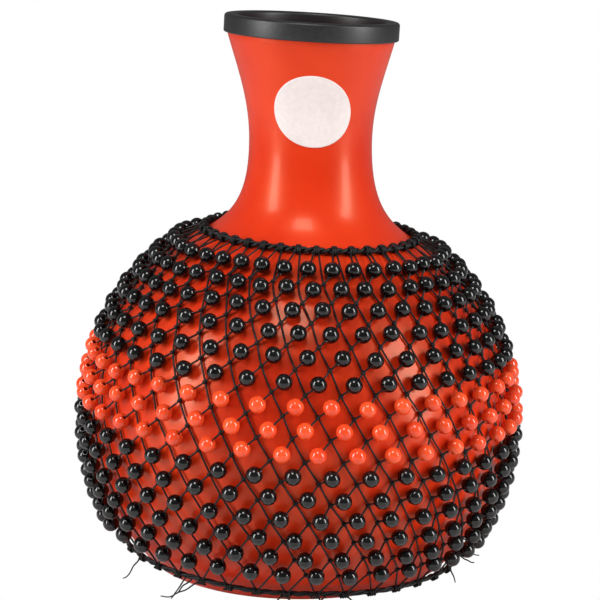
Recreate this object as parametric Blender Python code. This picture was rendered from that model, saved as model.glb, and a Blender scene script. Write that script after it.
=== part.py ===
"""A shaker made from a hollow gourd-shaped shell with a loose beaded net tied round its belly.

The belly is a ball with a level base. The net, its collar cord and its hem cord lie square to an
axis through the ball's centre that leans a little towards +X, and the neck stands plumb above it.
Longitudes run from the front (-Y) towards +X, and latitudes are measured from the ball's equator.
"""

import math

import bmesh
import bpy
from mathutils import Matrix, Vector

MM = 0.001

# Shell
BELLY_RADIUS = 119.5 * MM
BASE_DROP = 83.0 * MM
BASE_FILLET = 8.0 * MM
WALL = 3.0 * MM
LEAN = math.radians(3.2)
SHOULDER_LATITUDE = math.radians(61.09)
WAIST_RISE = 52.2 * MM
WAIST_RADIUS = 34.5 * MM
FLARE_RISE = 57.8 * MM
LIP_BAND = 9.0 * MM
LIP_RADIUS = 46.5 * MM

# Rim trim
TRIM_FIT = 0.3 * MM
TRIM_WALL = 1.9 * MM
TRIM_CROWN = 1.5 * MM
TRIM_OUTER_SKIRT = 8.2 * MM
TRIM_INNER_SKIRT = 6.0 * MM
TRIM_ROUND = 0.7 * MM

# Label disc
LABEL_WIDTH = 44.0 * MM
LABEL_HEIGHT = 39.5 * MM
LABEL_THICKNESS = 0.3 * MM
LABEL_RISE = 20.5 * MM
LABEL_LONGITUDE = math.radians(1.5)

# Net
STRANDS = 39
NET_CLEARANCE = 0.3 * MM
CORD_RADIUS = 0.6 * MM
BEAD_RADIUS = 4.6 * MM
SHAKE_TRAVEL = 3.0 * MM
COLLAR_CORD_RADIUS = 1.9 * MM
HEM_CORD_RADIUS = 1.6 * MM
COLLAR_LATITUDE = math.radians(60.4)
TOP_ROW_LATITUDE = math.radians(52.3)
UPPER_ROWS = 6
RED_ROWS = 3
LOWER_ROWS = 6
UPPER_PITCH = math.radians(6.08)
RED_PITCH = math.radians(5.73)
LOWER_PITCH = math.radians(5.53)
HEM_LATITUDE = math.radians(-37.1)
FIRST_BEAD_LONGITUDE = math.radians(-0.7)
FIRST_BEAD_LAG = math.radians(3.7)
DRIFT_AT_TOP = math.radians(2.5)
DRIFT_GROWTH = math.radians(0.14)
DRIFT_LIMIT = math.radians(3.45)
KNOT_LAG_AT_TOP = math.radians(3.4)
KNOT_LAG_LOSS = math.radians(0.06)
KNOT_DROP_AT_TOP = math.radians(3.3)
KNOT_DROP_LOSS = math.radians(0.15)
HITCH_WIDTH = 1.8 * MM
STRAND_END_SPREAD = 3.2 * MM

# Facet counts
SHELL_SIDES = 32
BELLY_RINGS = 9
HOLLOW_RINGS = 7
NECK_RINGS = 5
FILLET_RINGS = 2
CORD_SIDES = 6
LABEL_SIDES = 24

BEAD_ROWS = UPPER_ROWS + RED_ROWS + LOWER_ROWS
STRAND_PITCH = math.tau / STRANDS
BELLY_CENTRE = Vector((0, 0, BASE_DROP))
SHOULDER_HEIGHT = BELLY_RADIUS * math.sin(SHOULDER_LATITUDE)
WAIST_HEIGHT = SHOULDER_HEIGHT + WAIST_RISE
FLARE_HEIGHT = WAIST_HEIGHT + FLARE_RISE
LIP_HEIGHT = FLARE_HEIGHT + LIP_BAND
LABEL_HEIGHT_ON_NECK = WAIST_HEIGHT + LABEL_RISE


def clear_scene():
    for old in list(bpy.data.objects):
        bpy.data.objects.remove(old)


def make_material(name, colour, roughness, metallic=0.0):
    material = bpy.data.materials.new(name)
    material.use_nodes = True
    shader = material.node_tree.nodes["Principled BSDF"]
    shader.inputs["Base Color"].default_value = (*colour, 1)
    shader.inputs["Roughness"].default_value = roughness
    shader.inputs["Metallic"].default_value = metallic
    return material


def make_empty(name, place, lean=0.0, parent=None):
    empty = bpy.data.objects.new(name, None)
    bpy.context.scene.collection.objects.link(empty)
    empty.parent = parent
    empty.location = place
    empty.rotation_euler = (0, lean, 0)
    return empty


def make_object(name, mesh, material, parent=None):
    mesh.materials.append(material)
    mesh.shade_smooth()
    mesh.set_sharp_from_angle(angle=math.radians(50))
    piece = bpy.data.objects.new(name, mesh)
    bpy.context.scene.collection.objects.link(piece)
    piece.parent = parent
    return piece


def mesh_from_rings(name, rings, closed_ends=True, closed_loop=False):
    """Joins rings of points, each with the same count, into one closed skin."""
    bm = bmesh.new()
    loops = [[bm.verts.new(point) for point in ring] for ring in rings]
    pairs = list(zip(loops, loops[1:]))
    if closed_loop:
        pairs.append((loops[-1], loops[0]))
    for low, high in pairs:
        sides = len(low)
        for i in range(sides):
            bm.faces.new((low[i], low[(i + 1) % sides], high[(i + 1) % sides], high[i]))
    if closed_ends:
        bm.faces.new(reversed(loops[0]))
        bm.faces.new(loops[-1])
    bmesh.ops.recalc_face_normals(bm, faces=bm.faces)
    mesh = bpy.data.meshes.new(name)
    bm.to_mesh(mesh)
    bm.free()
    return mesh


def bezier(points, t):
    """A point on a cubic curve, as (radius, height)."""
    a, b, c, d = (Vector(point) for point in points)
    s = 1 - t
    return a * s**3 + b * (3 * s * s * t) + c * (3 * s * t * t) + d * t**3


def neck_curves(inset):
    """The two cubic curves of the neck's outline, drawn inset from the outside."""
    ball = BELLY_RADIUS - inset
    shoulder = (ball * math.cos(SHOULDER_LATITUDE), ball * math.sin(SHOULDER_LATITUDE))
    waist = (WAIST_RADIUS - inset, WAIST_HEIGHT)
    lip = (LIP_RADIUS - inset, FLARE_HEIGHT)
    neck_rise = waist[1] - shoulder[1]
    below = [
        shoulder,
        (shoulder[0] - 0.63 * (shoulder[0] - waist[0]), shoulder[1] + 0.18 * neck_rise),
        (waist[0], waist[1] - 0.59 * neck_rise),
        waist,
    ]
    above = [
        waist,
        (waist[0], waist[1] + 0.38 * FLARE_RISE),
        (lip[0] - 0.46 * (lip[0] - waist[0]), lip[1] - 0.335 * FLARE_RISE),
        lip,
    ]
    return below, above


def neck_outline(inset):
    """(radius, height) points from just above the shoulder to the top of the flare."""
    below, above = neck_curves(inset)
    lower = [bezier(below, i / NECK_RINGS) for i in range(1, NECK_RINGS + 1)]
    upper = [bezier(above, i / NECK_RINGS) for i in range(1, NECK_RINGS + 1)]
    return [(point.x, point.y) for point in lower + upper]


def neck_radius_at(height):
    """The neck's outer radius at a height, found between the rings of its outline."""
    outline = neck_outline(0)
    for low, high in zip(outline, outline[1:]):
        if low[1] <= height <= high[1]:
            share = (height - low[1]) / (high[1] - low[1])
            return low[0] + share * (high[0] - low[0])
    return LIP_RADIUS


def neck_shift(height):
    """How far a ring's centre steps back from the leaning axis, so that the neck is plumb."""
    rise = min(height, FLARE_HEIGHT) - SHOULDER_HEIGHT
    return -max(0.0, rise) * math.tan(LEAN)


def tilted_ring(lean, height, radius, shift=0.0):
    """A circle square to an axis through the ball's centre that leans by an angle."""
    turn = Matrix.Rotation(lean, 3, "Y")
    ring = []
    for i in range(SHELL_SIDES):
        angle = math.tau * i / SHELL_SIDES
        point = Vector((shift + radius * math.sin(angle), -radius * math.cos(angle), height))
        ring.append(BELLY_CENTRE + turn @ point)
    return ring


def belly_rings(radius, lowest_height, count):
    """Circles on the ball, level at the base and square to the leaning axis at the shoulder."""
    low = math.asin(lowest_height / radius)
    rings = []
    for i in range(count + 1):
        share = i / count
        latitude = low + share * (SHOULDER_LATITUDE - low)
        ring = tilted_ring(LEAN * share, radius * math.sin(latitude), radius * math.cos(latitude))
        rings.append(ring)
    return rings


def fillet_rings(radius, fillet, floor):
    """Level circles of a rounded edge between a flat floor and the inside of a ball."""
    reach = radius - fillet
    centre_height = floor + fillet
    centre_radius = math.sqrt(reach**2 - centre_height**2)
    end = math.atan2(centre_height, centre_radius)
    rings = []
    for i in range(FILLET_RINGS):
        angle = -math.pi / 2 + (end + math.pi / 2) * i / FILLET_RINGS
        height = centre_height + fillet * math.sin(angle)
        rings.append(tilted_ring(0, height, centre_radius + fillet * math.cos(angle)))
    return rings, radius * math.sin(end)


def make_shell(material):
    floor = -BASE_DROP
    outer_edge, outer_start = fillet_rings(BELLY_RADIUS, BASE_FILLET, floor)
    hollow_radius = BELLY_RADIUS - WALL
    hollow_fillet = BASE_FILLET - WALL
    inner_edge, inner_start = fillet_rings(hollow_radius, hollow_fillet, floor + WALL)
    rings = outer_edge + belly_rings(BELLY_RADIUS, outer_start, BELLY_RINGS)
    for radius, height in neck_outline(0):
        rings.append(tilted_ring(LEAN, height, radius, neck_shift(height)))
    rings.append(tilted_ring(LEAN, LIP_HEIGHT, LIP_RADIUS, neck_shift(LIP_HEIGHT)))
    inside_lip = tilted_ring(LEAN, LIP_HEIGHT, LIP_RADIUS - WALL, neck_shift(LIP_HEIGHT))
    rings.append(inside_lip)
    for radius, height in reversed(neck_outline(WALL)):
        rings.append(tilted_ring(LEAN, height, radius, neck_shift(height)))
    rings += reversed(belly_rings(hollow_radius, inner_start, HOLLOW_RINGS))
    rings += reversed(inner_edge)
    return make_object("shell", mesh_from_rings("shell", rings), material)


def turned_loop(name, outline, sides):
    """A closed outline of (radius, height) points turned round Z."""
    rings = []
    for radius, height in outline:
        ring = []
        for i in range(sides):
            angle = math.tau * i / sides
            ring.append((radius * math.sin(angle), -radius * math.cos(angle), height))
        rings.append(ring)
    return mesh_from_rings(name, rings, closed_ends=False, closed_loop=True)


def make_rim_trim(material, mouth):
    """A rubber channel pressed over the lip, drawn from the lip's own edge."""
    groove_outer = LIP_RADIUS + TRIM_FIT
    groove_inner = LIP_RADIUS - WALL - TRIM_FIT
    groove_top = TRIM_FIT
    outer = groove_outer + TRIM_WALL
    inner = groove_inner - TRIM_WALL
    top = groove_top + TRIM_CROWN
    outline = [
        (groove_outer, -TRIM_OUTER_SKIRT),
        (outer, -TRIM_OUTER_SKIRT),
        (outer, top - TRIM_ROUND),
        (outer - TRIM_ROUND, top),
        (inner + TRIM_ROUND, top),
        (inner, top - TRIM_ROUND),
        (inner, -TRIM_INNER_SKIRT),
        (groove_inner, -TRIM_INNER_SKIRT),
        (groove_inner, groove_top),
        (groove_outer, groove_top),
    ]
    mesh = turned_loop("rim_trim", outline, SHELL_SIDES)
    return make_object("rim_trim", mesh, material, mouth)


def label_point(across, up, lift):
    """A point over the neck's front, given by its distance round the girth and its height."""
    height = LABEL_HEIGHT_ON_NECK + up
    radius = neck_radius_at(height) + lift
    angle = LABEL_LONGITUDE + across / neck_radius_at(height)
    return (neck_shift(height) + radius * math.sin(angle), -radius * math.cos(angle), height)


def make_label(material, axis):
    """A thin plain disc that lies on the front of the neck."""
    under = TRIM_FIT
    over = TRIM_FIT + LABEL_THICKNESS

    def ring(share, lift):
        points = []
        for i in range(LABEL_SIDES):
            angle = math.tau * i / LABEL_SIDES
            across = share * LABEL_WIDTH / 2 * math.cos(angle)
            up = share * LABEL_HEIGHT / 2 * math.sin(angle)
            points.append(label_point(across, up, lift))
        return points

    shares = (0.1, 0.4, 0.7, 1.0)
    rings = [ring(share, under) for share in shares]
    rings += [ring(share, over) for share in reversed(shares)]
    return make_object("label_disc", mesh_from_rings("label_disc", rings), material, axis)


def hang(latitude):
    """How much further the net stands off below the equator, where it hangs by its travel."""
    return SHAKE_TRAVEL * max(0.0, -math.sin(latitude))


def on_net(longitude, latitude, lift):
    """A point over the ball, lift above its skin, in the leaning frame."""
    distance = BELLY_RADIUS + NET_CLEARANCE + lift + hang(latitude)
    flat = distance * math.cos(latitude)
    height = distance * math.sin(latitude)
    return Vector((flat * math.sin(longitude), -flat * math.cos(longitude), height))


def make_ring_cord(name, latitude, cord_radius, material, axis):
    centre = on_net(0, latitude, cord_radius)
    outline = []
    for i in range(CORD_SIDES):
        angle = math.tau * (i + 0.5) / CORD_SIDES
        radius = -centre.y + cord_radius * math.cos(angle)
        outline.append((radius, centre.z + cord_radius * math.sin(angle)))
    mesh = turned_loop(name, outline, SHELL_SIDES)
    return make_object(name, mesh, material, axis)


def row_latitudes():
    """The latitude of each row of beads, top to bottom."""
    latitudes = [TOP_ROW_LATITUDE]
    for row in range(1, BEAD_ROWS):
        if row < UPPER_ROWS:
            pitch = UPPER_PITCH
        elif row < UPPER_ROWS + RED_ROWS:
            pitch = RED_PITCH
        else:
            pitch = LOWER_PITCH
        latitudes.append(latitudes[-1] - pitch)
    return latitudes


def row_drifts():
    """How far round each row lies from the one above it, along the bare cords."""
    return [min(DRIFT_AT_TOP + DRIFT_GROWTH * row, DRIFT_LIMIT) for row in range(BEAD_ROWS - 1)]


def bead_longitudes():
    """The longitudes of one strand's beads, top to bottom, from its hitch at zero."""
    longitudes = [-FIRST_BEAD_LAG]
    for drift in row_drifts():
        longitudes.append(longitudes[-1] + drift - STRAND_PITCH)
    return longitudes


def knot_longitudes():
    """The longitudes of the knots that one strand's bare leg passes, from its hitch at zero."""
    longitudes = [STRAND_PITCH - FIRST_BEAD_LAG - KNOT_LAG_AT_TOP]
    for drift in row_drifts():
        longitudes.append(longitudes[-1] + drift + KNOT_LAG_LOSS)
    return longitudes


def knot_latitudes():
    """The latitude of each row of knots, which come closer to their beads down the net."""
    drops = [KNOT_DROP_AT_TOP - KNOT_DROP_LOSS * row for row in range(BEAD_ROWS)]
    return [latitude - drop for latitude, drop in zip(row_latitudes(), drops)]


def bead_stations(centre, along):
    """Four triangles of points that swell from the cord to a bead and back."""
    tip = BEAD_RADIUS * 0.97
    shoulder = BEAD_RADIUS * 0.33
    return [
        (centre - along * tip, along, CORD_RADIUS),
        (centre - along * shoulder, along, BEAD_RADIUS),
        (centre + along * shoulder, along, BEAD_RADIUS),
        (centre + along * tip, along, CORD_RADIUS),
    ]


def strand_end(longitude, lift):
    """Where a leg of a strand stops, just above the hem cord."""
    reach = HEM_CORD_RADIUS + NET_CLEARANCE + CORD_RADIUS
    return on_net(longitude, HEM_LATITUDE + reach / BELLY_RADIUS, lift)


def strand_stations():
    """One doubled strand, from the foot of its beaded leg over its hitch to its bare foot."""
    latitudes = row_latitudes()
    lanes = bead_longitudes()
    knots = knot_longitudes()
    collar_over = 2 * COLLAR_CORD_RADIUS + NET_CLEARANCE + CORD_RADIUS
    hitch_half = HITCH_WIDTH / 2 / (BELLY_RADIUS * math.cos(COLLAR_LATITUDE))
    hitch_left = on_net(-hitch_half, COLLAR_LATITUDE, collar_over)
    hitch_right = on_net(hitch_half, COLLAR_LATITUDE, collar_over)
    end_half = STRAND_END_SPREAD / 2 / (BELLY_RADIUS * math.cos(HEM_LATITUDE))
    bare_lift = BEAD_RADIUS - 2 * CORD_RADIUS - NET_CLEARANCE
    foot = knots[-1] + row_drifts()[-1]
    bare_end = strand_end(foot - end_half, HEM_CORD_RADIUS)
    beaded_end = strand_end(foot - STRAND_PITCH * (BEAD_ROWS + 1) + end_half, BEAD_RADIUS)
    bead_places = [on_net(lane, row, BEAD_RADIUS) for lane, row in zip(lanes, latitudes)]
    line = [hitch_left] + bead_places + [beaded_end]
    beaded = [(hitch_left, (bead_places[0] - hitch_right).normalized(), CORD_RADIUS)]
    for above, bead, below in zip(line, line[1:], line[2:]):
        beaded += bead_stations(bead, (below - above).normalized())
    beaded.append((beaded_end, (beaded_end - bead_places[-1]).normalized(), CORD_RADIUS))
    crossings = []
    for lane, row in list(zip(knots, knot_latitudes()))[::2]:
        crossings.append(on_net(lane, row, bare_lift))
    line = [hitch_right] + crossings + [bare_end]
    bare = [(hitch_right, (crossings[0] - hitch_left).normalized(), CORD_RADIUS)]
    for above, place, below in zip(line, line[1:], line[2:]):
        bare.append((place, (below - above).normalized(), CORD_RADIUS))
    bare.append((bare_end, (bare_end - crossings[-1]).normalized(), CORD_RADIUS))
    upward = [(place, -along, radius) for place, along, radius in reversed(beaded)]
    return upward + bare


def strand_mesh(name):
    """A three-sided skin along the stations, each triangle turned half a side from the last."""
    bm = bmesh.new()
    loops = []
    for step, (centre, along, radius) in enumerate(strand_stations()):
        out = centre.normalized()
        side = along.cross(out).normalized()
        up = side.cross(along)
        loop = []
        for corner in range(3):
            angle = math.tau * (corner / 3 + (step % 2) / 6)
            offset = up * (radius * math.cos(angle)) + side * (radius * math.sin(angle))
            loop.append(bm.verts.new(centre + offset))
        loops.append(loop)
    for step, (low, high) in enumerate(zip(loops, loops[1:])):
        for i in range(3):
            j = (i + 1) % 3
            k = i if step % 2 == 0 else j
            bm.faces.new((low[i], low[j], high[k]))
            bm.faces.new((low[j], high[(k + 1) % 3], high[k]))
    bm.faces.new(loops[0])
    bm.faces.new(loops[-1])
    bmesh.ops.recalc_face_normals(bm, faces=bm.faces)
    mesh = bpy.data.meshes.new(name)
    bm.to_mesh(mesh)
    bm.free()
    return mesh


def make_strands(material, axis):
    """Every strand is the same doubled cord with its beads, turned about the leaning axis."""
    mesh = strand_mesh("net_strand")
    first_hitch = FIRST_BEAD_LONGITUDE + FIRST_BEAD_LAG
    for i in range(STRANDS):
        name = f"net_strand_{i + 1:02d}"
        strand = bpy.data.objects.new(name, mesh)
        bpy.context.scene.collection.objects.link(strand)
        strand.parent = axis
        strand.rotation_euler = (0, 0, first_hitch + STRAND_PITCH * i)
    mesh.materials.append(material)
    mesh.shade_smooth()


def main():
    clear_scene()
    lacquer = make_material("orange_red_lacquer", (0.66, 0.07, 0.02), 0.12)
    rubber = make_material("black_rubber", (0.02, 0.02, 0.02), 0.55)
    label = make_material("label_white", (0.86, 0.8, 0.78), 0.35)
    cord = make_material("waxed_cord", (0.015, 0.015, 0.015), 0.6)
    bead = make_material("bead_plastic", (0.012, 0.012, 0.012), 0.15)

    make_shell(lacquer)
    belly_axis = make_empty("belly_axis", BELLY_CENTRE, LEAN)
    mouth_place = (neck_shift(LIP_HEIGHT), 0, LIP_HEIGHT)
    mouth = make_empty("mouth", mouth_place, parent=belly_axis)
    make_rim_trim(rubber, mouth)
    make_label(label, belly_axis)
    make_ring_cord("collar_cord", COLLAR_LATITUDE, COLLAR_CORD_RADIUS, cord, belly_axis)
    make_ring_cord("hem_cord", HEM_LATITUDE, HEM_CORD_RADIUS, cord, belly_axis)
    make_strands(bead, belly_axis)
    bpy.context.view_layer.update()


main()
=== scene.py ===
"""Looks for the net-covered shaker: shell, rim trim, label, collar, beads, knotted net and hem.

Longitudes run from the front (-Y) towards +X, and latitudes are measured from the equator of the
ball-shaped belly, square to an axis that leans a little towards +X. Lengths are in metres.
"""

import math
import random

import bmesh
import bpy
from mathutils import Matrix, Vector


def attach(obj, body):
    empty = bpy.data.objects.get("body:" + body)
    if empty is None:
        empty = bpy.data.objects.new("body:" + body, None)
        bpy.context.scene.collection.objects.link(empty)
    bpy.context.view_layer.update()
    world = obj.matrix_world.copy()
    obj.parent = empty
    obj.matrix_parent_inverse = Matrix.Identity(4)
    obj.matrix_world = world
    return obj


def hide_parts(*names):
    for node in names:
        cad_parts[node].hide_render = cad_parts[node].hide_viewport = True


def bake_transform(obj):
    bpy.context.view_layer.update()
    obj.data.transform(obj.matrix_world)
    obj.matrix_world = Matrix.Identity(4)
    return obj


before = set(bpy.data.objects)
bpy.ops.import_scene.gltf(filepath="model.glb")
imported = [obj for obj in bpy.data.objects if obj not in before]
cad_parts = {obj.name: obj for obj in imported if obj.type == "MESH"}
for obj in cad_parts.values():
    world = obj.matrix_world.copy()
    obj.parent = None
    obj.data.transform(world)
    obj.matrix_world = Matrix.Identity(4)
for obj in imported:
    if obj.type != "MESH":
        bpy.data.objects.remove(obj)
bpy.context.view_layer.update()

MM = 0.001
SEED = 11

# Shell, as in the CAD model
BELLY_RADIUS = 119.5 * MM
BASE_DROP = 83.0 * MM
BASE_FILLET = 8.0 * MM
WALL = 3.0 * MM
LEAN = math.radians(3.2)
SHOULDER_LATITUDE = math.radians(61.09)
WAIST_RISE = 52.2 * MM
WAIST_RADIUS = 34.5 * MM
FLARE_RISE = 57.8 * MM
LIP_BAND = 9.0 * MM
LIP_RADIUS = 46.5 * MM

# Handles of the neck's two curves, as shares of the run and the rise of their own curve
SHOULDER_HANDLE_IN = 0.63
SHOULDER_HANDLE_UP = 0.18
WAIST_HANDLE_DOWN = 0.59
WAIST_HANDLE_UP = 0.38
LIP_HANDLE_IN = 0.46
LIP_HANDLE_DOWN = 0.335

# Rim trim, as in the CAD model, with rounded edges
TRIM_FIT = 0.3 * MM
TRIM_WALL = 1.9 * MM
TRIM_CROWN = 1.5 * MM
TRIM_OUTER_SKIRT = 8.2 * MM
TRIM_INNER_SKIRT = 6.0 * MM
TRIM_CROWN_ROUND = 1.6 * MM
TRIM_SKIRT_ROUND = 0.6 * MM

# Label, as in the CAD model
LABEL_WIDTH = 44.0 * MM
LABEL_HEIGHT = 39.5 * MM
LABEL_THICKNESS = 0.3 * MM
LABEL_RISE = 20.5 * MM
LABEL_LONGITUDE = math.radians(1.5)

# Label's outline: shares of its half width, and of the height of its face over the neck
LABEL_SPOKES = (0.02, 0.25, 0.5, 0.75)
LABEL_BACK = 0.1
LABEL_FACE = 0.7
LABEL_EDGE = [(0.99, 0.1), (1.0, 0.35), (0.995, 0.6), (0.97, 0.7)]

# Net, as in the CAD model
STRANDS = 39
NET_CLEARANCE = 0.3 * MM
BEAD_RADIUS = 4.6 * MM
SHAKE_TRAVEL = 3.0 * MM
COLLAR_CORD_RADIUS = 1.9 * MM
HEM_CORD_RADIUS = 1.6 * MM
COLLAR_LATITUDE = math.radians(60.4)
TOP_ROW_LATITUDE = math.radians(52.3)
UPPER_ROWS = 6
RED_ROWS = 3
LOWER_ROWS = 6
UPPER_PITCH = math.radians(6.08)
RED_PITCH = math.radians(5.73)
LOWER_PITCH = math.radians(5.53)
HEM_LATITUDE = math.radians(-37.1)
FIRST_BEAD_LONGITUDE = math.radians(-0.7)
FIRST_BEAD_LAG = math.radians(3.7)
DRIFT_AT_TOP = math.radians(2.5)
DRIFT_GROWTH = math.radians(0.14)
DRIFT_LIMIT = math.radians(3.45)
KNOT_LAG_AT_TOP = math.radians(3.4)
KNOT_LAG_LOSS = math.radians(0.06)
KNOT_DROP_AT_TOP = math.radians(3.3)
KNOT_DROP_LOSS = math.radians(0.15)
HITCH_WIDTH = 1.8 * MM
BEAD_ROWS = UPPER_ROWS + RED_ROWS + LOWER_ROWS
STRAND_PITCH = math.tau / STRANDS

# Beads: barrels whose round sides stop at an angle, with a bore sunk below the ends
BEAD_HALF_LENGTH = 4.45 * MM
BEAD_BORE = 1.1 * MM
BEAD_SHOULDER = math.radians(72)
BORE_EDGE = 0.9
BEAD_LEVELLING = 0.7
NET_UNEVENNESS = 0.7 * MM

# Cords and knots of the strands
CORD_RADIUS = 0.55 * MM
KNOT_RADIUS = 1.35 * MM
KNOT_TURNS = 2.4
KNOT_LENGTH = 1.87 * MM
BARE_CORD_LIFT = 1.08 * MM
BEADED_FOOT_LIFT = 2.56 * MM
BARE_FOOT_LIFT = 1.92 * MM

# Collar: two twisted plies, sized as shares of the cord's radius
COLLAR_PLIES = 2
COLLAR_PLY_OFFSET = 0.48
COLLAR_PLY_RADIUS = 0.52

# Hitches on the collar: each wrap's place aside, and its height over the collar in cord radii
HITCH_WRAPS = [(-0.992 * MM, 0.5), (0.0, 0.75), (0.992 * MM, 0.5)]
HITCH_LOOSENESS = 1.02
HITCH_OVAL = 1.1
HITCH_LEAST_LIFT = 0.22 * MM

# Hem: three loosely twisted plies, sized as shares of the cord's radius
HEM_PLIES = 3
HEM_PLY_OFFSET = 0.5
HEM_PLY_RADIUS = 0.5
HEM_TWISTS = 26
HEM_TWIST_SWAY = 0.6
HEM_TWIST_SWAYS = 7
HEM_WAVE = 0.25
HEM_WAVES = 9
HEM_HITCH_TURNS = 3.2
HEM_HITCH_LENGTH = 4.2 * MM
HEM_HITCH_LIFT = 2.4 * MM
HEM_HITCH_TIGHTNESS = 0.97
HEM_CHORD = 0.1

# Thread tails at the hem
TAIL_COUNT = 26
TAIL_RADIUS = 0.5 * MM
TAIL_TAPER = 0.35
TAIL_LIFT = 2.56 * MM
TAIL_FLOOR = 0.8 * MM
TAIL_SPREAD = (0.2, 1.6)
TAIL_LENGTH = (8.0 * MM, 17.0 * MM)
TAIL_CURL = 0.5
TAIL_DROOP = (0.9, 1.3)

# Facet counts
SHELL_SIDES = 128
BELLY_RINGS = 48
HOLLOW_RINGS = 30
NECK_RINGS = 18
FILLET_RINGS = 6
TRIM_SKIRT_ARCS = 4
TRIM_CROWN_ARCS = 8
LABEL_SIDES = 96
BEAD_SIDES = 20
BEAD_ARCS = 10
CORD_SIDES = 6
WRAP_SIDES = 5
CORD_STEPS = 4
KNOT_STEPS = 18
COLLAR_STEPS = 12
HITCH_STEPS = 12
HEM_STEPS = 10
HEM_HITCH_STEPS = 24
TAIL_POINTS = 6
TAIL_STEPS = 3
SHELL_SHARP = math.radians(40)
TRIM_SHARP = math.radians(50)

# Camera, light and floor
CAMERA_DISTANCE = 1.1144
CAMERA_ELEVATION = math.radians(14.770)
CAMERA_ROLL = math.radians(0.271)
CAMERA_LENS = 115.88
CAMERA_PAN = math.radians(-0.011)
CAMERA_TILT = math.radians(2.788)
AIM_HEIGHT = 10.2 * MM
SENSOR_WIDTH = 36
CAMERA_REACH = 20
LIGHT_TARGET = Vector((0, 0, 0.15))
FLOOR_REACH = 3.0
FLOOR_GAP = 0.5 * MM
SHOWN_STRENGTH = 1.0
LIT_STRENGTH = 0.16

BELLY_CENTRE = Vector((0, 0, BASE_DROP))
SHOULDER_HEIGHT = BELLY_RADIUS * math.sin(SHOULDER_LATITUDE)
WAIST_HEIGHT = SHOULDER_HEIGHT + WAIST_RISE
FLARE_HEIGHT = WAIST_HEIGHT + FLARE_RISE
LIP_HEIGHT = FLARE_HEIGHT + LIP_BAND
LABEL_HEIGHT_ON_NECK = WAIST_HEIGHT + LABEL_RISE
TURN = Matrix.Rotation(LEAN, 3, "Y")
chance = random.Random(SEED)


def place(point):
    """A point of the leaning frame, in the row frame."""
    return BELLY_CENTRE + TURN @ Vector(point)


def link(name, mesh, material, body):
    """Puts a mesh in the scene, and on its body where it has a single one."""
    mesh.materials.append(material)
    piece = bpy.data.objects.new(name, mesh)
    bpy.context.scene.collection.objects.link(piece)
    if body:
        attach(piece, body)
    return piece


def finish_mesh(name, bm):
    """A smooth mesh with its faces turned outwards."""
    bmesh.ops.recalc_face_normals(bm, faces=bm.faces)
    mesh = bpy.data.meshes.new(name)
    bm.to_mesh(mesh)
    bm.free()
    mesh.shade_smooth()
    return mesh


def mesh_from_rings(name, rings, close_ends=False, close_loop=False):
    """Joins rings of points, each with the same count, into one skin."""
    bm = bmesh.new()
    loops = [[bm.verts.new(point) for point in ring] for ring in rings]
    pairs = list(zip(loops, loops[1:]))
    if close_loop:
        pairs.append((loops[-1], loops[0]))
    for low, high in pairs:
        sides = len(low)
        for i in range(sides):
            bm.faces.new((low[i], low[(i + 1) % sides], high[(i + 1) % sides], high[i]))
    if close_ends:
        bm.faces.new(reversed(loops[0]))
        bm.faces.new(loops[-1])
    return finish_mesh(name, bm)


# Materials


def new_material(name):
    material = bpy.data.materials.new(name)
    material.use_nodes = True
    nodes = material.node_tree.nodes
    return material, nodes, material.node_tree.links, nodes["Principled BSDF"]


def noise_node(nodes, links, scale, detail, source):
    noise = nodes.new("ShaderNodeTexNoise")
    noise.inputs["Scale"].default_value = scale
    noise.inputs["Detail"].default_value = detail
    links.new(source, noise.inputs["Vector"])
    return noise


def ramp_node(nodes, links, source, stops):
    ramp = nodes.new("ShaderNodeValToRGB")
    for element, (position, colour) in zip(ramp.color_ramp.elements, stops):
        element.position = position
        element.color = (*colour, 1)
    links.new(source, ramp.inputs["Fac"])
    return ramp


def add_bump(nodes, links, height, strength, distance, shader):
    bump = nodes.new("ShaderNodeBump")
    bump.inputs["Strength"].default_value = strength
    bump.inputs["Distance"].default_value = distance
    links.new(height, bump.inputs["Height"])
    links.new(bump.outputs["Normal"], shader.inputs["Normal"])


def lacquer():
    """Orange-red gloss paint, slightly mottled, with the faint waves of a hand-laid moulding."""
    material, nodes, links, shader = new_material("orange_red_lacquer")
    where = nodes.new("ShaderNodeTexCoord").outputs["Object"]
    mottle = noise_node(nodes, links, 18, 4, where)
    stops = [(0.3, (0.55, 0.020, 0.004)), (0.7, (0.67, 0.036, 0.006))]
    colour = ramp_node(nodes, links, mottle.outputs["Fac"], stops)
    links.new(colour.outputs["Color"], shader.inputs["Base Color"])
    shader.inputs["Roughness"].default_value = 0.33
    shader.inputs["Specular Tint"].default_value = (1.0, 0.5, 0.25, 1)
    shader.inputs["Coat Weight"].default_value = 0.1
    shader.inputs["Coat Roughness"].default_value = 0.12
    waves = noise_node(nodes, links, 34, 2, where)
    add_bump(nodes, links, waves.outputs["Fac"], 0.12, 0.0012, shader)
    return material


def black_rubber():
    """Dull black rubber with a fine grain."""
    material, nodes, links, shader = new_material("black_rubber")
    where = nodes.new("ShaderNodeTexCoord").outputs["Object"]
    grain = noise_node(nodes, links, 900, 3, where)
    stops = [(0.3, (0.006, 0.006, 0.007)), (0.75, (0.016, 0.016, 0.017))]
    colour = ramp_node(nodes, links, grain.outputs["Fac"], stops)
    links.new(colour.outputs["Color"], shader.inputs["Base Color"])
    shader.inputs["Roughness"].default_value = 0.42
    add_bump(nodes, links, grain.outputs["Fac"], 0.2, 0.0003, shader)
    return material


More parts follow.
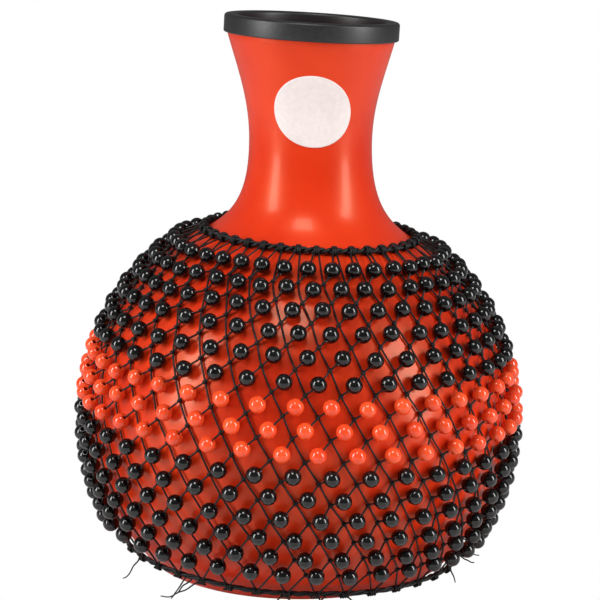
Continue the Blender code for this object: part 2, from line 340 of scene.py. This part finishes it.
def label_print():
    """Pale satin paper, left bare."""
    material, nodes, links, shader = new_material("label_satin")
    where = nodes.new("ShaderNodeTexCoord").outputs["Object"]
    fibre = noise_node(nodes, links, 420, 3, where)
    stops = [(0.3, (0.70, 0.62, 0.60)), (0.7, (0.76, 0.68, 0.66))]
    colour = ramp_node(nodes, links, fibre.outputs["Fac"], stops)
    links.new(colour.outputs["Color"], shader.inputs["Base Color"])
    shader.inputs["Roughness"].default_value = 0.45
    shader.inputs["Coat Weight"].default_value = 0.15
    add_bump(nodes, links, fibre.outputs["Fac"], 0.08, 0.0002, shader)
    return material


def waxed_cord():
    """Black waxed thread with the fine grain of its fibres."""
    material, nodes, links, shader = new_material("waxed_cord")
    where = nodes.new("ShaderNodeTexCoord").outputs["Object"]
    fibre = noise_node(nodes, links, 1800, 2, where)
    stops = [(0.3, (0.003, 0.003, 0.003)), (0.8, (0.012, 0.011, 0.012))]
    colour = ramp_node(nodes, links, fibre.outputs["Fac"], stops)
    links.new(colour.outputs["Color"], shader.inputs["Base Color"])
    shader.inputs["Roughness"].default_value = 0.5
    shader.inputs["Specular IOR Level"].default_value = 0.3
    add_bump(nodes, links, fibre.outputs["Fac"], 0.5, 0.0003, shader)
    return material


def bead_plastic(name, dark, light):
    """Glossy moulded plastic, whose shade varies a little from bead to bead."""
    material, nodes, links, shader = new_material(name)
    where = nodes.new("ShaderNodeTexCoord").outputs["Object"]
    patch = noise_node(nodes, links, 55, 2, where)
    colour = ramp_node(nodes, links, patch.outputs["Fac"], [(0.35, dark), (0.65, light)])
    links.new(colour.outputs["Color"], shader.inputs["Base Color"])
    shader.inputs["Roughness"].default_value = 0.13
    scuff = noise_node(nodes, links, 700, 3, where)
    add_bump(nodes, links, scuff.outputs["Fac"], 0.04, 0.0003, shader)
    return material


# Shell, trim and label


def bezier(points, t):
    """A point on a cubic curve, as (radius, height)."""
    a, b, c, d = (Vector(point) for point in points)
    s = 1 - t
    return a * s**3 + b * (3 * s * s * t) + c * (3 * s * t * t) + d * t**3


def neck_curves(inset):
    """The two cubic curves of the neck's outline, drawn inset from the outside."""
    ball = BELLY_RADIUS - inset
    shoulder_radius = ball * math.cos(SHOULDER_LATITUDE)
    shoulder_height = ball * math.sin(SHOULDER_LATITUDE)
    waist_radius = WAIST_RADIUS - inset
    lip_radius = LIP_RADIUS - inset
    rise = WAIST_HEIGHT - shoulder_height
    narrowing = shoulder_radius - waist_radius
    widening = lip_radius - waist_radius
    waist = (waist_radius, WAIST_HEIGHT)
    below = [
        (shoulder_radius, shoulder_height),
        (shoulder_radius - SHOULDER_HANDLE_IN * narrowing, shoulder_height + SHOULDER_HANDLE_UP * rise),
        (waist_radius, WAIST_HEIGHT - WAIST_HANDLE_DOWN * rise),
        waist,
    ]
    above = [
        waist,
        (waist_radius, WAIST_HEIGHT + WAIST_HANDLE_UP * FLARE_RISE),
        (lip_radius - LIP_HANDLE_IN * widening, FLARE_HEIGHT - LIP_HANDLE_DOWN * FLARE_RISE),
        (lip_radius, FLARE_HEIGHT),
    ]
    return below, above


def neck_outline(inset):
    """(radius, height) points from just above the shoulder to the top of the flare."""
    below, above = neck_curves(inset)
    lower = [bezier(below, i / NECK_RINGS) for i in range(1, NECK_RINGS + 1)]
    upper = [bezier(above, i / NECK_RINGS) for i in range(1, NECK_RINGS + 1)]
    return [(point.x, point.y) for point in lower + upper]


def neck_radius_at(height):
    """The neck's outer radius at a height, found between the rings of its outline."""
    outline = neck_outline(0)
    for low, high in zip(outline, outline[1:]):
        if low[1] <= height <= high[1]:
            share = (height - low[1]) / (high[1] - low[1])
            return low[0] + share * (high[0] - low[0])
    return LIP_RADIUS


def neck_shift(height):
    """How far a ring's centre steps back from the leaning axis, so that the neck is plumb."""
    rise = min(height, FLARE_HEIGHT) - SHOULDER_HEIGHT
    return -max(0.0, rise) * math.tan(LEAN)


def tilted_ring(lean, height, radius, shift=0.0):
    """A circle square to an axis through the ball's centre that leans by an angle."""
    turn = Matrix.Rotation(lean, 3, "Y")
    ring = []
    for i in range(SHELL_SIDES):
        angle = math.tau * i / SHELL_SIDES
        point = Vector((shift + radius * math.sin(angle), -radius * math.cos(angle), height))
        ring.append(BELLY_CENTRE + turn @ point)
    return ring


def belly_rings(radius, lowest_height, count):
    """Circles on the ball, level at the base and square to the leaning axis at the shoulder."""
    low = math.asin(lowest_height / radius)
    rings = []
    for i in range(count + 1):
        share = i / count
        latitude = low + share * (SHOULDER_LATITUDE - low)
        ring = tilted_ring(LEAN * share, radius * math.sin(latitude), radius * math.cos(latitude))
        rings.append(ring)
    return rings


def fillet_rings(radius, fillet, floor):
    """Level circles of a rounded edge between a flat floor and the inside of a ball."""
    reach = radius - fillet
    centre_height = floor + fillet
    centre_radius = math.sqrt(reach**2 - centre_height**2)
    end = math.atan2(centre_height, centre_radius)
    rings = []
    for i in range(FILLET_RINGS):
        angle = -math.pi / 2 + (end + math.pi / 2) * i / FILLET_RINGS
        height = centre_height + fillet * math.sin(angle)
        rings.append(tilted_ring(0, height, centre_radius + fillet * math.cos(angle)))
    return rings, radius * math.sin(end)


def make_shell():
    """The hollow shell: up its outside to the lip, and down its inside to the floor."""
    floor = -BASE_DROP
    outer_edge, outer_start = fillet_rings(BELLY_RADIUS, BASE_FILLET, floor)
    hollow_radius = BELLY_RADIUS - WALL
    inner_edge, inner_start = fillet_rings(hollow_radius, BASE_FILLET - WALL, floor + WALL)
    rings = outer_edge + belly_rings(BELLY_RADIUS, outer_start, BELLY_RINGS)
    for radius, height in neck_outline(0):
        rings.append(tilted_ring(LEAN, height, radius, neck_shift(height)))
    rings.append(tilted_ring(LEAN, LIP_HEIGHT, LIP_RADIUS, neck_shift(LIP_HEIGHT)))
    rings.append(tilted_ring(LEAN, LIP_HEIGHT, LIP_RADIUS - WALL, neck_shift(LIP_HEIGHT)))
    for radius, height in reversed(neck_outline(WALL)):
        rings.append(tilted_ring(LEAN, height, radius, neck_shift(height)))
    rings += reversed(belly_rings(hollow_radius, inner_start, HOLLOW_RINGS))
    rings += reversed(inner_edge)
    mesh = mesh_from_rings("shell_skin", rings, close_ends=True)
    mesh.set_sharp_from_angle(angle=SHELL_SHARP)
    shell = link("shell_skin", mesh, lacquer(), "shell")
    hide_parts("shell")


def arc(centre, radius, start, end, count):
    """(radius, height) points along a round corner, with its angles in degrees."""
    points = []
    for i in range(count + 1):
        angle = math.radians(start + (end - start) * i / count)
        points.append((centre[0] + radius * math.cos(angle), centre[1] + radius * math.sin(angle)))
    return points


def make_rim_trim():
    """The rubber channel over the lip, with a full round crown and soft skirt edges."""
    groove_outer = LIP_RADIUS + TRIM_FIT
    groove_inner = LIP_RADIUS - WALL - TRIM_FIT
    outer = groove_outer + TRIM_WALL
    inner = groove_inner - TRIM_WALL
    top = TRIM_FIT + TRIM_CROWN
    crown = TRIM_CROWN_ROUND
    skirt = TRIM_SKIRT_ROUND
    outline = [(groove_outer, -TRIM_OUTER_SKIRT)]
    outline += arc((outer - skirt, -TRIM_OUTER_SKIRT + skirt), skirt, -90, 0, TRIM_SKIRT_ARCS)
    outline += arc((outer - crown, top - crown), crown, 0, 90, TRIM_CROWN_ARCS)
    outline += arc((inner + crown, top - crown), crown, 90, 180, TRIM_CROWN_ARCS)
    outline += arc((inner + skirt, -TRIM_INNER_SKIRT + skirt), skirt, 180, 270, TRIM_SKIRT_ARCS)
    outline += [(groove_inner, -TRIM_INNER_SKIRT), (groove_inner, TRIM_FIT), (groove_outer, TRIM_FIT)]
    rings = []
    for radius, height in outline:
        ring = []
        for i in range(SHELL_SIDES):
            angle = math.tau * i / SHELL_SIDES
            across = neck_shift(LIP_HEIGHT) + radius * math.sin(angle)
            ring.append(place((across, -radius * math.cos(angle), LIP_HEIGHT + height)))
        rings.append(ring)
    mesh = mesh_from_rings("rim_rubber", rings, close_loop=True)
    mesh.set_sharp_from_angle(angle=TRIM_SHARP)
    trim = link("rim_rubber", mesh, black_rubber(), "shell")
    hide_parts("rim_trim")


def label_point(across, up, lift):
    """A point over the neck's front, given by its distance round the girth and its height."""
    height = LABEL_HEIGHT_ON_NECK + up
    radius = neck_radius_at(height) + lift
    angle = LABEL_LONGITUDE + across / neck_radius_at(height)
    return place((neck_shift(height) + radius * math.sin(angle), -radius * math.cos(angle), height))


def make_label():
    """A plain disc that follows the neck, with a softly rounded edge."""
    profile = [(share, LABEL_BACK) for share in LABEL_SPOKES]
    profile += LABEL_EDGE
    profile += [(share, LABEL_FACE) for share in reversed(LABEL_SPOKES)]
    rings = []
    for share, lift in profile:
        ring = []
        for i in range(LABEL_SIDES):
            angle = math.tau * i / LABEL_SIDES
            across = share * LABEL_WIDTH / 2 * math.cos(angle)
            up = share * LABEL_HEIGHT / 2 * math.sin(angle)
            ring.append(label_point(across, up, lift * (TRIM_FIT + LABEL_THICKNESS)))
        rings.append(ring)
    mesh = mesh_from_rings("blank_label", rings, close_ends=True)
    label = link("blank_label", mesh, label_print(), "shell")
    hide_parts("label_disc")


# Net


def hang(latitude):
    """How much further the net stands off below the equator, where it hangs by its travel."""
    return SHAKE_TRAVEL * max(0.0, -math.sin(latitude))


def on_net(longitude, latitude, lift):
    """A point over the ball, lift above its skin, in the leaning frame."""
    distance = BELLY_RADIUS + NET_CLEARANCE + lift + hang(latitude)
    flat = distance * math.cos(latitude)
    height = distance * math.sin(latitude)
    return Vector((flat * math.sin(longitude), -flat * math.cos(longitude), height))


def row_latitudes():
    """The latitude of each row of beads, top to bottom."""
    latitudes = [TOP_ROW_LATITUDE]
    for row in range(1, BEAD_ROWS):
        if row < UPPER_ROWS:
            pitch = UPPER_PITCH
        elif row < UPPER_ROWS + RED_ROWS:
            pitch = RED_PITCH
        else:
            pitch = LOWER_PITCH
        latitudes.append(latitudes[-1] - pitch)
    return latitudes


def row_offsets():
    """How far round each row's beads lie from the first row's, along the bare cords."""
    offsets = [0.0]
    for row in range(BEAD_ROWS - 1):
        offsets.append(offsets[-1] + min(DRIFT_AT_TOP + DRIFT_GROWTH * row, DRIFT_LIMIT))
    return offsets


def uneven():
    """How far one bead sits aside of its even place, and above it."""
    return chance.uniform(-1, 1) * NET_UNEVENNESS, chance.uniform(-1, 1) * NET_UNEVENNESS


LATITUDES = row_latitudes()
OFFSETS = row_offsets()
UNEVEN_PLACES = [[uneven() for _ in range(STRANDS)] for _ in range(BEAD_ROWS)]
FIRST_FOOT = FIRST_BEAD_LONGITUDE + OFFSETS[-1] + DRIFT_LIMIT - KNOT_LAG_AT_TOP
FIRST_FOOT += KNOT_LAG_LOSS * BEAD_ROWS


def bead_angles(row, index):
    """The longitude and latitude of a bead, a little out of place as tied by hand."""
    aside, up = UNEVEN_PLACES[row][index % STRANDS]
    longitude = FIRST_BEAD_LONGITUDE + STRAND_PITCH * index + OFFSETS[row]
    flat = BELLY_RADIUS * math.cos(LATITUDES[row])
    return longitude + aside / flat, LATITUDES[row] + up / BELLY_RADIUS


def knot_angles(row, index):
    """The knot below a bead."""
    longitude, latitude = bead_angles(row, index)
    lag = KNOT_LAG_AT_TOP - KNOT_LAG_LOSS * row
    drop = KNOT_DROP_AT_TOP - KNOT_DROP_LOSS * row
    return longitude - lag, latitude - drop


def hitch_longitude(index):
    """Where a strand is hitched on the collar."""
    return FIRST_BEAD_LONGITUDE + FIRST_BEAD_LAG + STRAND_PITCH * index


def add_bead(bm, centre, along, out):
    """One barrel with rounded ends and a bore, its axis along the cord."""
    side = along.cross(out).normalized()
    up = side.cross(along)
    profile = [(BEAD_BORE, -BORE_EDGE * BEAD_HALF_LENGTH)]
    for i in range(BEAD_ARCS + 1):
        angle = BEAD_SHOULDER * (2 * i / BEAD_ARCS - 1)
        profile.append((BEAD_RADIUS * math.cos(angle), BEAD_HALF_LENGTH * math.sin(angle)))
    profile.append((BEAD_BORE, BORE_EDGE * BEAD_HALF_LENGTH))
    loops = []
    for radius, height in profile:
        loop = []
        for i in range(BEAD_SIDES):
            angle = math.tau * i / BEAD_SIDES
            offset = up * (radius * math.cos(angle)) + side * (radius * math.sin(angle))
            loop.append(bm.verts.new(centre + along * height + offset))
        loops.append(loop)
    for low, high in list(zip(loops, loops[1:])) + [(loops[-1], loops[0])]:
        for i in range(BEAD_SIDES):
            j = (i + 1) % BEAD_SIDES
            bm.faces.new((low[i], high[i], high[j], low[j]))


def make_bead_row(row, material):
    """One row of beads, each along its own cord and nearly level with the shell."""
    bm = bmesh.new()
    for index in range(STRANDS):
        longitude, latitude = bead_angles(row, index)
        if row:
            above = on_net(*knot_angles(row - 1, index + 1), KNOT_RADIUS)
        else:
            above = on_net(longitude + FIRST_BEAD_LAG, COLLAR_LATITUDE, KNOT_RADIUS)
        below = on_net(*knot_angles(row, index), KNOT_RADIUS)
        centre = on_net(longitude, latitude, BEAD_RADIUS)
        along = (TURN @ (below - above)).normalized()
        out = (TURN @ centre).normalized()
        along = (along - out * along.dot(out) * BEAD_LEVELLING).normalized()
        add_bead(bm, place(centre), along, out)
    name = f"beads_row_{row + 1:02d}"
    piece = link(name, finish_mesh(name, bm), material, "net")


def smooth_path(points, steps):
    """A curve through points, with steps pieces between each two."""
    path = []
    ends = [points[0] * 2 - points[1]] + points + [points[-1] * 2 - points[-2]]
    for a, b, c, d in zip(ends, ends[1:], ends[2:], ends[3:]):
        for i in range(steps):
            t = i / steps
            first = b * 2
            second = (c - a) * t
            third = (a * 2 - b * 5 + c * 4 - d) * t**2
            fourth = (b * 3 - a - c * 3 + d) * t**3
            path.append((first + second + third + fourth) * 0.5)
    path.append(points[-1])
    return path


def add_tube(bm, path, radius, sides=CORD_SIDES, taper=0.0):
    """A round skin along a path, closed at both ends and thinner by its taper at the last."""
    loops = []
    up = None
    for i, point in enumerate(path):
        along = (path[min(i + 1, len(path) - 1)] - path[max(i - 1, 0)]).normalized()
        if up is None:
            up = along.orthogonal().normalized()
        up = (up - along * up.dot(along)).normalized()
        side = along.cross(up)
        reach = radius * (1 - taper * i / (len(path) - 1))
        loop = []
        for k in range(sides):
            angle = math.tau * k / sides
            loop.append(bm.verts.new(point + (up * math.cos(angle) + side * math.sin(angle)) * reach))
        loops.append(loop)
    for low, high in zip(loops, loops[1:]):
        for k in range(sides):
            bm.faces.new((low[k], low[(k + 1) % sides], high[(k + 1) % sides], high[k]))
    bm.faces.new(reversed(loops[0]))
    bm.faces.new(loops[-1])


def wrap_path(centre, along, out, reach, turns, length, steps):
    """A cord wound round a centre, along the way that it runs."""
    side = along.cross(out).normalized()
    path = []
    for i in range(steps + 1):
        share = i / steps
        angle = math.tau * turns * share
        spot = centre + along * ((share - 0.5) * length)
        path.append(spot + (out * math.cos(angle) + side * math.sin(angle)) * reach)
    return path


def make_strand(index, cord):
    """The cords and knots of one strand: its beaded leg, its bare leg and their feet at the hem."""
    bm = bmesh.new()
    half = HITCH_WIDTH / 2 / (BELLY_RADIUS * math.cos(COLLAR_LATITUDE))
    hitch = hitch_longitude(index)
    beaded = [on_net(hitch - half, COLLAR_LATITUDE, COLLAR_CORD_RADIUS)]
    bare = [on_net(hitch + half, COLLAR_LATITUDE, COLLAR_CORD_RADIUS)]
    for row in range(BEAD_ROWS):
        lane = index - row
        beaded.append(on_net(*bead_angles(row, lane), BEAD_RADIUS))
        beaded.append(on_net(*knot_angles(row, lane), KNOT_RADIUS))
        bare.append(on_net(*knot_angles(row, index + 1), BARE_CORD_LIFT))
    beaded_foot = FIRST_FOOT + STRAND_PITCH * (index - BEAD_ROWS)
    bare_foot = FIRST_FOOT + STRAND_PITCH * (index + 1)
    beaded.append(on_net(beaded_foot, HEM_LATITUDE, BEADED_FOOT_LIFT))
    bare.append(on_net(bare_foot, HEM_LATITUDE, BARE_FOOT_LIFT))
    for route in (beaded, bare):
        points = [place(point) for point in route]
        add_tube(bm, smooth_path(points, CORD_STEPS), CORD_RADIUS)
    for row in range(BEAD_ROWS):
        lane = index - row
        centre = on_net(*knot_angles(row, lane), KNOT_RADIUS)
        above = on_net(*bead_angles(row, lane), KNOT_RADIUS)
        along = (TURN @ (centre - above)).normalized()
        out = (TURN @ centre).normalized()
        reach = KNOT_RADIUS - CORD_RADIUS
        path = wrap_path(place(centre), along, out, reach, KNOT_TURNS, KNOT_LENGTH, KNOT_STEPS)
        add_tube(bm, path, CORD_RADIUS, WRAP_SIDES)
    name = f"strand_cord_{index + 1:02d}"
    strand = link(name, finish_mesh(name, bm), cord, None)
    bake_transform(strand)
    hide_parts(f"net_strand_{index + 1:02d}")


def make_collar(cord):
    """Two twisted plies of cord round the shoulder, with a hitch over them at each strand."""
    bm = bmesh.new()
    count = STRANDS * COLLAR_STEPS
    for ply in range(COLLAR_PLIES):
        path = []
        for i in range(count + 1):
            angle = math.tau * i / count
            twist = angle * STRANDS + math.tau * ply / COLLAR_PLIES
            lift = COLLAR_CORD_RADIUS * (1 + COLLAR_PLY_OFFSET * math.cos(twist))
            rise = COLLAR_CORD_RADIUS * COLLAR_PLY_OFFSET * math.sin(twist) / BELLY_RADIUS
            path.append(place(on_net(angle, COLLAR_LATITUDE + rise, lift)))
        add_tube(bm, path, COLLAR_CORD_RADIUS * COLLAR_PLY_RADIUS)
    flat = BELLY_RADIUS * math.cos(COLLAR_LATITUDE)
    for index in range(STRANDS):
        for aside, over in HITCH_WRAPS:
            longitude = hitch_longitude(index) + aside / flat
            reach = COLLAR_CORD_RADIUS * HITCH_LOOSENESS + CORD_RADIUS * over
            path = []
            for i in range(HITCH_STEPS + 1):
                angle = math.tau * i / HITCH_STEPS
                lift = max(COLLAR_CORD_RADIUS + reach * math.cos(angle), HITCH_LEAST_LIFT)
                rise = reach * HITCH_OVAL * math.sin(angle) / BELLY_RADIUS
                path.append(place(on_net(longitude, COLLAR_LATITUDE + rise, lift)))
            add_tube(bm, path, CORD_RADIUS)
    name = "collar_cord_twisted"
    collar = link(name, finish_mesh(name, bm), cord, "collar")
    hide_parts("collar_cord")


def add_tail(bm, longitude):
    """A loose thread end that springs from a hem knot and droops to the floor."""
    start = place(on_net(longitude, HEM_LATITUDE, TAIL_LIFT))
    outward = Vector((start.x, start.y, 0)).normalized()
    sideways = Vector((-outward.y, outward.x, 0)) * chance.choice((-1, 1))
    heading = (outward + sideways * chance.uniform(*TAIL_SPREAD)).normalized()
    length = chance.uniform(*TAIL_LENGTH)
    curl = chance.uniform(-TAIL_CURL, TAIL_CURL)
    points = []
    for i in range(TAIL_POINTS):
        share = i / (TAIL_POINTS - 1)
        spot = start + (heading + sideways * curl * share) * (length * share)
        drop = (start.z - TAIL_FLOOR) * min(1.0, share * chance.uniform(*TAIL_DROOP))
        points.append(Vector((spot.x, spot.y, max(TAIL_FLOOR, start.z - drop))))
    add_tube(bm, smooth_path(points, TAIL_STEPS), TAIL_RADIUS, WRAP_SIDES, TAIL_TAPER)


def make_hem(cord):
    """Three loose plies of cord, hand-tied hitches at every foot and a few thread tails."""
    bm = bmesh.new()
    count = STRANDS * HEM_STEPS
    for ply in range(HEM_PLIES):
        path = []
        for i in range(count + 1):
            angle = math.tau * i / count
            twist = angle * HEM_TWISTS + math.tau * ply / HEM_PLIES
            twist += HEM_TWIST_SWAY * math.sin(angle * HEM_TWIST_SWAYS)
            lift = HEM_CORD_RADIUS * (1 + HEM_PLY_OFFSET * math.cos(twist))
            wave = HEM_PLY_OFFSET * math.sin(twist) + HEM_WAVE * math.sin(angle * HEM_WAVES)
            rise = HEM_CORD_RADIUS * wave / BELLY_RADIUS
            path.append(place(on_net(angle, HEM_LATITUDE + rise, lift)))
        add_tube(bm, path, HEM_CORD_RADIUS * HEM_PLY_RADIUS)
    reach = HEM_CORD_RADIUS * HEM_HITCH_TIGHTNESS
    for index in range(STRANDS):
        longitude = FIRST_FOOT + STRAND_PITCH * index
        centre = on_net(longitude, HEM_LATITUDE, HEM_HITCH_LIFT)
        here = on_net(longitude, HEM_LATITUDE, 0)
        ahead = on_net(longitude + HEM_CHORD, HEM_LATITUDE, 0)
        along = (TURN @ (ahead - here)).normalized()
        out = (TURN @ centre).normalized()
        winding = (reach, HEM_HITCH_TURNS, HEM_HITCH_LENGTH, HEM_HITCH_STEPS)
        add_tube(bm, wrap_path(place(centre), along, out, *winding), CORD_RADIUS, WRAP_SIDES)
    for _ in range(TAIL_COUNT):
        add_tail(bm, chance.uniform(0, math.tau))
    hem = link("hem_cord_tied", finish_mesh("hem_cord_tied", bm), cord, "net")
    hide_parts("hem_cord")


def make_net():
    """The collar, the strands, the rows of beads and the hem."""
    cord = waxed_cord()
    black = bead_plastic("black_bead", (0.002, 0.002, 0.002), (0.005, 0.005, 0.005))
    red = bead_plastic("red_bead", (0.72, 0.05, 0.012), (0.84, 0.085, 0.02))
    make_collar(cord)
    for index in range(STRANDS):
        make_strand(index, cord)
    for row in range(BEAD_ROWS):
        is_red = UPPER_ROWS <= row < UPPER_ROWS + RED_ROWS
        make_bead_row(row, red if is_red else black)
    make_hem(cord)


# Camera, light and floor


def make_camera():
    """The camera looks down at the belly from the front, turned a little from its centre."""
    aim = place((0, 0, AIM_HEIGHT))
    back = Vector((0, -math.cos(CAMERA_ELEVATION), math.sin(CAMERA_ELEVATION)))
    eye = aim + back * CAMERA_DISTANCE
    right = Vector((1, 0, 0))
    up = back.cross(right)
    axes = Matrix((right, up, back)).transposed()
    turn = Matrix.Rotation(CAMERA_ROLL, 3, "Z")
    pan = Matrix.Rotation(-CAMERA_PAN, 3, "Y")
    tilt = Matrix.Rotation(CAMERA_TILT, 3, "X")
    data = bpy.data.cameras.new("camera")
    data.lens = CAMERA_LENS
    data.sensor_width = SENSOR_WIDTH
    data.clip_end = CAMERA_REACH
    camera = bpy.data.objects.new("camera", data)
    bpy.context.scene.collection.objects.link(camera)
    camera.matrix_world = Matrix.Translation(eye) @ (axes @ pan @ tilt @ turn).to_4x4()
    bpy.context.scene.camera = camera


def area_light(name, place_at, size, size_y, power):
    """A white softbox that faces the object."""
    data = bpy.data.lights.new(name, "AREA")
    data.shape = "RECTANGLE"
    data.size = size
    data.size_y = size_y
    data.energy = power
    light = bpy.data.objects.new(name, data)
    bpy.context.scene.collection.objects.link(light)
    light.location = place_at
    facing = LIGHT_TARGET - Vector(place_at)
    light.rotation_euler = facing.to_track_quat("-Z", "Y").to_euler()


def make_stage():
    """A white floor that catches the shadow, hidden from the camera itself."""
    mesh = bpy.data.meshes.new("floor")
    sides = [(-1, -1), (1, -1), (1, 1), (-1, 1)]
    corners = [(across * FLOOR_REACH, deep * FLOOR_REACH, 0) for across, deep in sides]
    mesh.from_pydata(corners, [], [(0, 1, 2, 3)])
    material, _, _, shader = new_material("white_floor")
    shader.inputs["Base Color"].default_value = (0.9, 0.9, 0.9, 1)
    shader.inputs["Roughness"].default_value = 0.6
    mesh.materials.append(material)
    floor = bpy.data.objects.new("floor", mesh)
    bpy.context.scene.collection.objects.link(floor)
    floor.location = (0, 0, -FLOOR_GAP)
    floor.visible_camera = False


def make_world():
    """White for the camera, and a dim white light for everything else."""
    world = bpy.data.worlds.new("studio")
    bpy.context.scene.world = world
    world.use_nodes = True
    nodes = world.node_tree.nodes
    links = world.node_tree.links
    nodes.clear()
    output = nodes.new("ShaderNodeOutputWorld")
    shown = nodes.new("ShaderNodeBackground")
    shown.inputs["Color"].default_value = (1, 1, 1, 1)
    shown.inputs["Strength"].default_value = SHOWN_STRENGTH
    lit = nodes.new("ShaderNodeBackground")
    lit.inputs["Color"].default_value = (1, 1, 1, 1)
    lit.inputs["Strength"].default_value = LIT_STRENGTH
    mix = nodes.new("ShaderNodeMixShader")
    rays = nodes.new("ShaderNodeLightPath")
    links.new(rays.outputs["Is Camera Ray"], mix.inputs["Fac"])
    links.new(lit.outputs["Background"], mix.inputs[1])
    links.new(shown.outputs["Background"], mix.inputs[2])
    links.new(mix.outputs["Shader"], output.inputs["Surface"])


make_camera()
make_world()
make_stage()
area_light("left_softbox", (-1.15, -0.55, 0.6), 0.35, 1.0, 16)
area_light("right_softbox", (1.15, -0.5, 0.6), 0.35, 1.0, 15)
area_light("top_softbox", (-0.1, -0.7, 1.5), 0.5, 0.5, 10)
make_shell()
make_rim_trim()
make_label()
make_net()

bpy.context.scene.view_settings.view_transform = "Standard"

bpy.context.view_layer.update()
